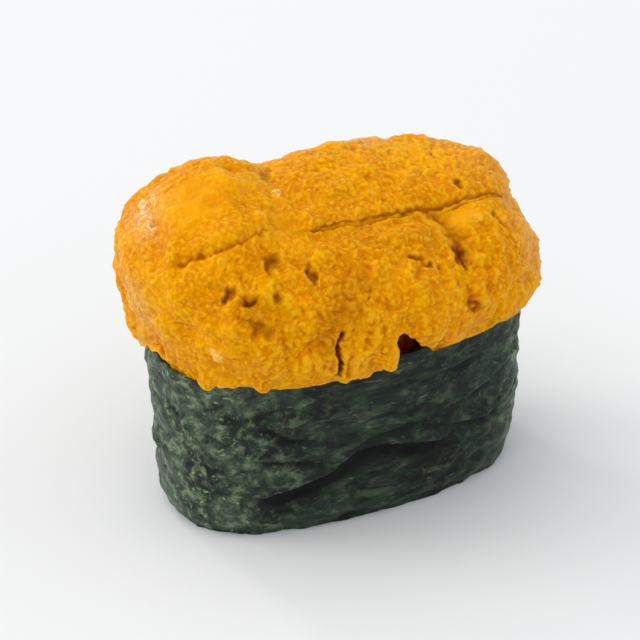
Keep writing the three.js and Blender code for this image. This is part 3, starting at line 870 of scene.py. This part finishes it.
def rice_core():
    """The pressed rice as rings of the oval, closed at the top and at the bottom."""
    rings = []
    angle = np.linspace(0, 360, CORE_TURNS + 1)[:-1]
    shell = -(NORI_THICKNESS + GAP)
    for height in np.linspace(CORE_FOOT, RICE_TOP, CORE_RINGS):
        inset = CORE_INSET + CORE_WAIST * ease(2.0, 5.0, height)
        rings.append(oval(angle, np.full_like(angle, height), shell - inset))
    for shrink in (0.8, 0.6, 0.4, 0.2, 0.02):
        ring = rings[CORE_RINGS - 1].copy()
        ring[:, :2] *= shrink
        ring[:, 2] = RICE_TOP + RICE_CROWN * (1 - shrink ** 2)
        rings.append(ring)
    for shrink in (0.8, 0.5, 0.2, 0.02):
        ring = rings[0].copy()
        ring[:, :2] *= shrink
        rings.insert(0, ring)
    return rings


def ring_faces(rings, turns, first=0):
    """Quads between rings of points, and a face over each end."""
    faces = []
    for k in range(rings - 1):
        for j in range(turns):
            a, b = first + k * turns + j, first + k * turns + (j + 1) % turns
            faces.append((a, b, b + turns, a + turns))
    faces.append(tuple(first + j for j in reversed(range(turns))))
    faces.append(tuple(first + (rings - 1) * turns + j for j in range(turns)))
    return faces


# %% One grain, and where grains lie
GRAIN_LENGTH = 5.6
GRAIN_WIDTH = 2.5
GRAIN_TURNS = 12
GRAIN_RINGS = 9
GRAIN_END = 0.985  # the first and the last ring lie this far from the middle to the tip
GRAIN_BLUNTNESS = 2.6
GRAIN_TAPER = 0.12
GRAIN_FLATNESS = 0.88
GRAIN_SPACING = 2.5
GRAIN_TRIES = 6000
TRIED_FIELD = (22, 11)  # half the length and the width of the rectangle that middles are tried in
GRAIN_FIELD = (20.9, 9.7)  # and of the oval that they are kept in


def grain_rings(middle, heading, tilt, size, bend):
    """One grain: a plump rod with round ends, a little bent and a little flat."""
    t = np.linspace(-GRAIN_END, GRAIN_END, GRAIN_RINGS)
    turn = np.linspace(0, 2 * np.pi, GRAIN_TURNS + 1)[:-1]
    plump = (1 - np.abs(t) ** GRAIN_BLUNTNESS) ** 0.5 * (1 - GRAIN_TAPER * t)
    radius = 0.5 * GRAIN_WIDTH * size * plump
    x = np.repeat(0.5 * GRAIN_LENGTH * size * t, GRAIN_TURNS)
    y = np.outer(radius, np.cos(turn)).ravel() + bend * x ** 2
    z = GRAIN_FLATNESS * np.outer(radius, np.sin(turn)).ravel() + tilt * x
    c, s = math.cos(heading), math.sin(heading)
    return np.stack([middle[0] + c * x - s * y, middle[1] + s * x + c * y, middle[2] + z], 1)


def how_far_out(x, y, half_length, half_width):
    """0 in the middle of a squared oval, and 1 on its edge."""
    return (abs(x) / half_length) ** FOOT["squareness"] + (abs(y) / half_width) ** FOOT["squareness"]


def grain_places(rng):
    """Middles of grains all over the underside, a little further apart than they are wide."""
    places = []
    for _ in range(GRAIN_TRIES):
        x, y = (rng.uniform(-half, half) for half in TRIED_FIELD)
        room = all((x - px) ** 2 + (y - py) ** 2 > GRAIN_SPACING ** 2 for px, py, _ in places)
        if room and how_far_out(x, y, *GRAIN_FIELD) < 1:
            places.append((x, y, rng.uniform(0.75, 1.5)))
    return places


# %% Press the rice
RICE_HALVES = (22.0, 10.6)  # half the length and the width of the pressed rice's underside
HALVES_SQUARED = (484, 112)  # about the squares of these, which give the way that the edge faces
EDGE_SHARE = 0.6  # further out than this, grains lie along the edge
RICE_SEED = 7


def make_rice():
    core = rice_core()
    points = [np.concatenate(core)]
    faces = ring_faces(len(core), CORE_TURNS)
    rng = np.random.default_rng(RICE_SEED)
    places = grain_places(rng)
    for x, y, z in places:
        heading = rng.uniform(0, np.pi)
        if how_far_out(x, y, *RICE_HALVES) > EDGE_SHARE:
            edge_facing = math.atan2(y / HALVES_SQUARED[1], x / HALVES_SQUARED[0])
            heading = edge_facing + np.pi / 2 + rng.uniform(-0.35, 0.35)
        grain = grain_rings((x, y, z), heading, rng.uniform(-0.12, 0.12), rng.uniform(0.85, 1.08),
                            rng.uniform(-0.035, 0.035))
        grain[:, 2] = np.maximum(grain[:, 2], 0)
        faces += ring_faces(GRAIN_RINGS, GRAIN_TURNS, sum(len(p) for p in points))
        points.append(grain)
    mesh = smooth_mesh("rice_grains", np.concatenate(points), faces)
    rice = add_object("rice_grains", mesh)
    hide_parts("rice")
    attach(rice, "root")
    print("rice:", len(places), "grains on a core,", len(mesh.polygons), "faces")
    return rice


rice_grains = make_rice()

# %% [markdown]
# ## Building materials in code
# A material is a small graph of nodes. A few helpers keep the graphs readable: one turns a colour
# as a painter would mix it, in 0 to 255, into the linear values that a shader takes, one adds a
# node with its settings and its inputs in a single call, and the rest are short names for the
# nodes that every finish here needs.

# %% Colours and nodes
def colour(red, green, blue):
    """A screen colour from 0 to 255 as the linear colour of a shader."""
    screen = [v / 255 for v in (red, green, blue)]
    return (*(v / 12.92 if v <= 0.04045 else ((v + 0.055) / 1.055) ** 2.4 for v in screen), 1.0)


def set_inputs(tree, node, inputs):
    """Gives inputs of a node values of their own, or links them to other nodes' sockets."""
    for name, value in inputs.items():
        if isinstance(value, bpy.types.NodeSocket):
            tree.links.new(value, node.inputs[name])
        else:
            node.inputs[name].default_value = value


def add_node(tree, kind, inputs=None, **settings):
    """A node with its settings and its inputs."""
    node = tree.nodes.new("ShaderNode" + kind)
    for name, value in settings.items():
        setattr(node, name, value)
    set_inputs(tree, node, inputs or {})
    return node


# %% Short names for common nodes
def painted_numbers(tree, *names):
    """The numbers that are painted on the mesh, as sockets."""
    return [add_node(tree, "Attribute", attribute_name=name).outputs["Fac"] for name in names]


def mix_colours(tree, share, first, second):
    """A blend of two colours, all second where `share` is 1."""
    node = add_node(tree, "Mix", {0: share, 6: first, 7: second}, data_type="RGBA")
    return node.outputs[2]


def raise_by(tree, height, strength, depth, **under):
    """A bump from a height, `depth` millimetres deep, over a Normal from another if one is given."""
    inputs = {"Strength": strength, "Distance": depth * MM, "Height": height, **under}
    return add_node(tree, "Bump", inputs).outputs["Normal"]


def span(tree, value, low, high, to_low=0.0, to_high=1.0):
    """A value's stretch from `low` to `high`, eased and laid onto another stretch."""
    inputs = {"Value": value, "From Min": low, "From Max": high, "To Min": to_low, "To Max": to_high}
    return add_node(tree, "MapRange", inputs, interpolation_type="SMOOTHSTEP").outputs["Result"]


def multiply(tree, first, second):
    return add_node(tree, "Math", {0: first, 1: second}, operation="MULTIPLY").outputs[0]


def new_material(name):
    material = bpy.data.materials.new(name)
    material.use_nodes = True
    tree = material.node_tree
    return material, tree, tree.nodes["Principled BSDF"]


# %% [markdown]
# ## Mottling and fine grain
# Roe, nori and rice share one thing: none is the same colour or the same height for more than a
# millimetre. That is one effect with different sizes, so it is a node group. It puts out soft
# patches, small flecks and a fine height, and each material places it with its own sizes.

# %% The mottle group
def new_group(name, sizes, results):
    """An empty node group that takes a place and some sizes and puts out some numbers."""
    group = bpy.data.node_groups.new(name, "ShaderNodeTree")
    group.interface.new_socket("Vector", in_out="INPUT", socket_type="NodeSocketVector")
    for size in sizes:
        group.interface.new_socket(size, in_out="INPUT", socket_type="NodeSocketFloat")
    for result in results:
        group.interface.new_socket(result, in_out="OUTPUT", socket_type="NodeSocketFloat")
    return group, group.nodes.new("NodeGroupInput").outputs, group.nodes.new("NodeGroupOutput").inputs


def make_mottle():
    sizes = ["Patches per metre", "Flecks per metre", "Roughness of patches"]
    group, given, result = new_group("Mottle", sizes, ["Patches", "Flecks", "Height"])
    patches = add_node(group, "TexNoise", {"Vector": given["Vector"], "Scale": given["Patches per metre"],
                                           "Detail": 4.0, "Roughness": given["Roughness of patches"],
                                           "Distortion": 0.4})
    fine = add_node(group, "TexNoise", {"Vector": given["Vector"], "Scale": given["Flecks per metre"],
                                        "Detail": 3.0, "Roughness": 0.6, "Distortion": 0.8})
    group.links.new(patches.outputs["Fac"], result["Patches"])
    group.links.new(span(group, fine.outputs["Fac"], 0.60, 0.72), result["Flecks"])
    group.links.new(fine.outputs["Fac"], result["Height"])
    return group


mottle = make_mottle()


def add_mottle(tree, where, patches, flecks, roughness=0.55):
    """The mottle group with sizes in millimetres."""
    inputs = {"Vector": where, "Patches per metre": 1 / (patches * MM), "Flecks per metre": 1 / (flecks * MM),
              "Roughness of patches": roughness}
    return add_node(tree, "Group", inputs, node_tree=mottle).outputs


# %% [markdown]
# ## The roe's finish
# Roe is moist and lets light a little way in, so its hollows glow and never go black. Their deep
# orange, and that between the heads, is also painted shade, and the paler tops and rises are
# painted light. Light is scattered under the skin over about a millimetre, more red than green
# and hardly any blue. Its gloss is broad and dull, and only wet patches shine, beside painted
# glints and a painted rim sheen. The smallest lobules are finer than the mesh can carry, so a
# second group packs round heads closely together.

# %% The pebble group
def make_pebbles():
    group, given, result = new_group("Pebbles", ["Pebbles per metre"], ["Heads"])
    nudge = add_node(group, "TexNoise", {"Vector": given["Vector"], "Scale": given["Pebbles per metre"]})
    inputs = {0: nudge.outputs["Color"], 1: (1.2 * MM,) * 3, 2: given["Vector"]}
    nudged = add_node(group, "VectorMath", inputs, operation="MULTIPLY_ADD")
    inputs = {"Vector": nudged.outputs[0], "Scale": given["Pebbles per metre"], "Smoothness": 0.4}
    cells = add_node(group, "TexVoronoi", inputs, feature="SMOOTH_F1")
    group.links.new(span(group, cells.outputs["Distance"], 0.62, 0.12), result["Heads"])
    return group


def add_pebbles(tree, where, size):
    """The pebble group with the pebbles' size in millimetres."""
    inputs = {"Vector": where, "Pebbles per metre": 1 / (size * MM)}
    return add_node(tree, "Group", inputs, node_tree=pebbles).outputs["Heads"]


pebbles = make_pebbles()

# %% Roe material
ROE_AMBER = colour(248, 169, 0)
ROE_OCHRE = colour(238, 151, 0)
# The deep orange below is painted shade for hollows and for the gaps between heads. The pale yellow after it
# is painted light for the tops of heads and the rises.
ROE_SHADE_DEEP = colour(182, 88, 0)
ROE_LIT_PALE = colour(255, 200, 24)
# The pale peach below is a painted reflection, laid on the rims where the skin turns away.
ROE_RIM_SHEEN = colour(246, 190, 120)
# The near white below is a painted highlight for glints.
ROE_GLINT = colour(255, 236, 190)
# The red-brown below is the raw inside of pits and grooves, and also painted shade in the tear and the shaded
# places.
ROE_RAW_SHADE = colour(128, 48, 4)


def make_roe():
    material, tree, skin = new_material("urchin_roe")
    place = add_node(tree, "TexCoord").outputs["Object"]
    hollow, smooth, wet, rim_sheen, raw_and_shade, glint = painted_numbers(tree, "hollow", "smooth", "wet", "rim_sheen", "raw_and_shade",
                                                            "glint")
    spots = add_mottle(tree, place, 5.0, 0.4, 0.7)
    grains = add_mottle(tree, place, 0.9, 0.6)
    heads = add_pebbles(tree, place, 0.6)
    patchy = span(tree, spots["Patches"], 0.65, 0.4, 0.5, 1.0)
    grainy = multiply(tree, patchy, span(tree, smooth, 0.0, 1.0, 1.0, 0.2))
    body = mix_colours(tree, span(tree, spots["Patches"], 0.35, 0.65), ROE_OCHRE, ROE_AMBER)
    # Painted reflection: a pale sheen on the rims, patchy by the grain.
    rim_sheened = mix_colours(tree, multiply(tree, rim_sheen, span(tree, grains["Patches"], 0.35, 0.65, 0.25, 0.85)),
                         body, ROE_RIM_SHEEN)
    # Painted shade between the heads, and painted light on their tops.
    shaded_gaps = mix_colours(tree, multiply(tree, grainy, span(tree, heads, 0.5, 0.0, 0.0, 0.3)), rim_sheened, ROE_SHADE_DEEP)
    lit_tops = mix_colours(tree, multiply(tree, grainy, span(tree, heads, 0.6, 1.0, 0.0, 0.3)), shaded_gaps, ROE_LIT_PALE)
    # Painted light on the rises and painted shade in the hollows, set by how hollow the skin is.
    raised = mix_colours(tree, span(tree, hollow, 0.0, -0.35, 0.0, 0.45), lit_tops, ROE_LIT_PALE)
    sunk = mix_colours(tree, span(tree, hollow, 0.0, 0.6, 0.0, 0.7), raised, ROE_SHADE_DEEP)
    # Red-brown in pits and grooves, partly raw inside and partly painted shade, and painted shade in the tear
    # and the shaded places.
    cut = mix_colours(tree, span(tree, raw_and_shade, 0.1, 0.8), sunk, ROE_RAW_SHADE)
    # Painted highlights: small glinting specks, most where the painted rim sheen lies.
    bright_specks = multiply(tree, grains["Flecks"], span(tree, rim_sheen, 0.0, 1.0, 0.12, 0.8))
    flecked = mix_colours(tree, bright_specks, cut, ROE_GLINT)
    # Painted highlights on the heads of the wet ridges and beads.
    lit_heads = multiply(tree, span(tree, glint, 0.15, 0.9), span(tree, heads, 0.2, 0.8, 0.05, 0.85))
    lit = mix_colours(tree, lit_heads, flecked, ROE_GLINT)
    pebbly = raise_by(tree, heads, multiply(tree, grainy, 0.6), 0.13)
    set_inputs(tree, skin, {
        "Base Color": lit,
        "Normal": raise_by(tree, spots["Height"], 0.35, 0.10, Normal=pebbly),
        "Roughness": span(tree, wet, 0.2, 1.0, 0.42, 0.28),
        "Coat Weight": multiply(tree, wet, span(tree, grains["Patches"], 0.4, 0.6)),
        "Coat Roughness": 0.12,
        "Specular IOR Level": 0.08,
        "Specular Tint": (1.0, 0.7, 0.15, 1),
        "Sheen Weight": 0.02,
        "Sheen Roughness": 0.35,
        "Sheen Tint": (1.0, 0.86, 0.7, 1),
        "Subsurface Weight": 0.35,
        "Subsurface Radius": (1.0, 0.45, 0.08),
        "Subsurface Scale": 1.0 * MM,
    })
    return material


roe = make_roe()
for tongue in tongues:
    tongue.data.materials.clear()
    tongue.data.materials.append(roe)
print("roe finish on", len(tongues), "tongues")

# %% [markdown]
# ## The nori's finish
# A sheet of nori is chopped seaweed dried flat: black-green at a distance, and close to a felt of
# green, grey-blue and brown shreds with a dull sheen. The shreds lie flat in the sheet, so the
# pattern is laid on the unrolled strip, where it can be stretched along its length.

# %% Nori material
NORI_BLACK = colour(5, 10, 8)
NORI_SLATE = colour(22, 33, 30)
NORI_GREEN = colour(32, 58, 32)
NORI_LIT_PALE = colour(92, 109, 86)
NORI_SHRED = colour(136, 153, 120)
NORI_FLECK = colour(170, 190, 138)


def leaning(tree, flat, degrees, along, across):
    """The strip's own coordinates turned and squeezed, so that a pattern on them is drawn out."""
    inputs = {"Vector": flat, "Rotation": (0, 0, math.radians(degrees)), "Scale": (along, across, 1)}
    return add_node(tree, "Mapping", inputs).outputs["Vector"]


def make_nori_finish():
    material, tree, sheet = new_material("nori_sheet")
    flat = add_node(tree, "UVMap", uv_map="sheet").outputs["UV"]
    fold_shaded, lit_paleness = painted_numbers(tree, "fold_shade", "lit_paleness")
    clouds = add_mottle(tree, leaning(tree, flat, -25, 0.7, 1.2), 5.0, 0.8, 0.6)
    along = add_mottle(tree, leaning(tree, flat, -20, 0.9, 1.1), 2.0, 0.5, 0.7)
    across = add_mottle(tree, leaning(tree, flat, 45, 0.8, 1.1), 1.7, 0.6, 0.7)
    base = mix_colours(tree, span(tree, clouds["Patches"], 0.35, 0.62), NORI_BLACK, NORI_SLATE)
    green = mix_colours(tree, span(tree, across["Patches"], 0.48, 0.64, 0.0, 0.8), base, NORI_GREEN)
    paleness = span(tree, lit_paleness, 0.0, 1.0, 0.18, 0.8)
    # Painted light: the ends of the band paler, with more pale shreds and flecks.
    end_light_share = multiply(tree, lit_paleness, span(tree, clouds["Patches"], 0.35, 0.65, 0.1, 0.65))
    lit_at_ends = mix_colours(tree, end_light_share, green, NORI_LIT_PALE)
    shredded = multiply(tree, paleness, span(tree, along["Patches"], 0.48, 0.68))
    felt = mix_colours(tree, shredded, lit_at_ends, NORI_SHRED)
    deep = mix_colours(tree, span(tree, along["Patches"], 0.48, 0.34, 0.0, 0.85), felt, NORI_BLACK)
    bright_specks = multiply(tree, clouds["Flecks"], paleness)
    gathered = multiply(tree, bright_specks, span(tree, across["Patches"], 0.38, 0.52))
    flecked = mix_colours(tree, gathered, deep, NORI_FLECK)
    # Painted shade: the tucks of the folds drawn near black.
    shaded_in_folds = mix_colours(tree, fold_shaded, flecked, NORI_BLACK)
    shreds = raise_by(tree, along["Patches"], 0.7, 0.35)
    set_inputs(tree, sheet, {
        "Base Color": shaded_in_folds,
        "Normal": raise_by(tree, across["Height"], 0.6, 0.15, Normal=shreds),
        "Roughness": span(tree, along["Patches"], 0.3, 0.7, 0.46, 0.64),
        "Specular IOR Level": 0.20,
        "Sheen Weight": 0.12,
        "Sheen Roughness": 0.3,
        "Sheen Tint": (0.8, 0.95, 0.9, 1),
    })
    return material


nori_band.data.materials.append(make_nori_finish())
print("nori finish laid")

# %% [markdown]
# ## The rice's finish
# Cooked rice is white with a hint of cream, moist, and a little see-through at its edges.

# %% Rice material
RICE_WHITE = colour(240, 236, 224)
RICE_CREAM = colour(222, 213, 190)


def make_rice_finish():
    material, tree, grain = new_material("cooked_rice")
    place = add_node(tree, "TexCoord").outputs["Object"]
    spots = add_mottle(tree, place, 3.0, 0.6)
    body = mix_colours(tree, span(tree, spots["Patches"], 0.35, 0.65), RICE_CREAM, RICE_WHITE)
    set_inputs(tree, grain, {
        "Base Color": body,
        "Normal": raise_by(tree, spots["Height"], 0.2, 0.1),
        "Roughness": span(tree, spots["Patches"], 0.3, 0.7, 0.28, 0.42),
        "Subsurface Weight": 0.4,
        "Subsurface Radius": (1.0, 0.8, 0.6),
        "Subsurface Scale": 0.8 * MM,
    })
    return material


rice_grains.data.materials.append(make_rice_finish())
print("rice finish laid")

# %% [markdown]
# ## Floor, light and camera
# The sushi stands on a plain pale floor. A wide soft lamp hangs high on the left, with weaker
# ones round it, and a bright sky fills the shadows, so that the one on the right is faint and
# cool. One small lamp behind gives the wet ridges their glint, on top of the painted highlight
# that the roe's finish lays on them.

# %% Floor
FLOOR_HALF = 3.0  # metres
FLOOR_PALE = colour(239, 240, 240)


def make_floor():
    corners = [(x * FLOOR_HALF, y * FLOOR_HALF, 0) for x, y in ((-1, -1), (1, -1), (1, 1), (-1, 1))]
    mesh = bpy.data.meshes.new("floor")
    mesh.from_pydata(corners, [], [(0, 1, 2, 3)])
    floor = add_object("floor", mesh)
    material, tree, face = new_material("pale_floor")
    set_inputs(tree, face, {"Base Color": FLOOR_PALE, "Roughness": 0.9, "Specular IOR Level": 0.1})
    mesh.materials.append(material)


make_floor()

# %% Camera
CAMERA_AZIMUTH = math.radians(-24.7)
CAMERA_ELEVATION = math.radians(35)
CAMERA_DISTANCE = 483.3
SENSOR_WIDTH = 36
IMAGE_SIZE = 640
ORIGIN_AT = (337.3, 464.5)  # where the sushi's origin falls in the image
PIXELS_PER_MM = 7.5  # at the origin
FARTHEST_SEEN = 20  # metres


def camera_axes():
    a, e = CAMERA_AZIMUTH, CAMERA_ELEVATION
    back = Vector((math.sin(a) * math.cos(e), -math.cos(a) * math.cos(e), math.sin(e)))
    right = Vector((math.cos(a), math.sin(a), 0))
    return back, right, back.cross(right)


def make_camera():
    back, right, up = camera_axes()
    data = bpy.data.cameras.new("camera")
    data.sensor_width = SENSOR_WIDTH
    data.lens = SENSOR_WIDTH * PIXELS_PER_MM * CAMERA_DISTANCE / IMAGE_SIZE
    data.clip_end = FARTHEST_SEEN
    camera = add_object("camera", data)
    camera.location = back * CAMERA_DISTANCE * MM
    across = (IMAGE_SIZE / 2 - ORIGIN_AT[0]) / PIXELS_PER_MM
    rise = (ORIGIN_AT[1] - IMAGE_SIZE / 2) / PIXELS_PER_MM
    aim = -back * CAMERA_DISTANCE + right * across + up * rise
    camera.rotation_euler = aim.to_track_quat("-Z", "Y").to_euler()
    bpy.context.scene.camera = camera
    print("camera lens:", round(data.lens, 1))


make_camera()

# %% Lamps
# Each lamp's way from the sushi (right and away as the camera sees it, and up), its distance and
# size in metres, its power in watts and its tint.
LAMPS = {
    "key": ((-0.55, 0.02, 1.3), 2.4, 2.4, 19, (1.0, 0.96, 0.91)),
    "glint": ((-0.55, 0.6, 0.75), 1.6, 0.16, 1.8, (1.0, 0.97, 0.93)),
    "fill": ((0.05, -0.75, 1.0), 2.4, 1.8, 3.2, (1.0, 0.985, 0.96)),
    "left": ((-1.0, 0.1, 0.45), 2.4, 1.0, 13, (1.0, 0.97, 0.93)),
    "right": ((1.0, 0.05, 0.75), 2.4, 1.6, 4.5, (1.0, 0.985, 0.96)),
}


def add_lamp(name, way, distance, size, power, tint):
    """A square lamp that looks at the sushi from a direction."""
    data = bpy.data.lights.new(name, "AREA")
    data.size = size
    data.energy = power
    data.color = tint
    away = Vector((-math.sin(CAMERA_AZIMUTH), math.cos(CAMERA_AZIMUTH), 0))
    from_sushi = camera_axes()[1] * way[0] + away * way[1] + Vector((0, 0, way[2]))
    lamp = add_object(name, data)
    lamp.location = from_sushi.normalized() * distance
    lamp.rotation_euler = (-lamp.location).to_track_quat("-Z", "Y").to_euler()


for name, lamp in LAMPS.items():
    add_lamp(name, *lamp)

# %% Sky
SKY_TINT = (0.90, 0.95, 1.0, 1)
SKY_STRENGTH = 0.69

world = bpy.data.worlds.new("sky")
world.use_nodes = True
background = world.node_tree.nodes["Background"]
set_inputs(world.node_tree, background, {"Color": SKY_TINT, "Strength": SKY_STRENGTH})
bpy.context.scene.world = world
bpy.context.scene.view_settings.view_transform = "Standard"
print(len(LAMPS), "lamps and a sky")
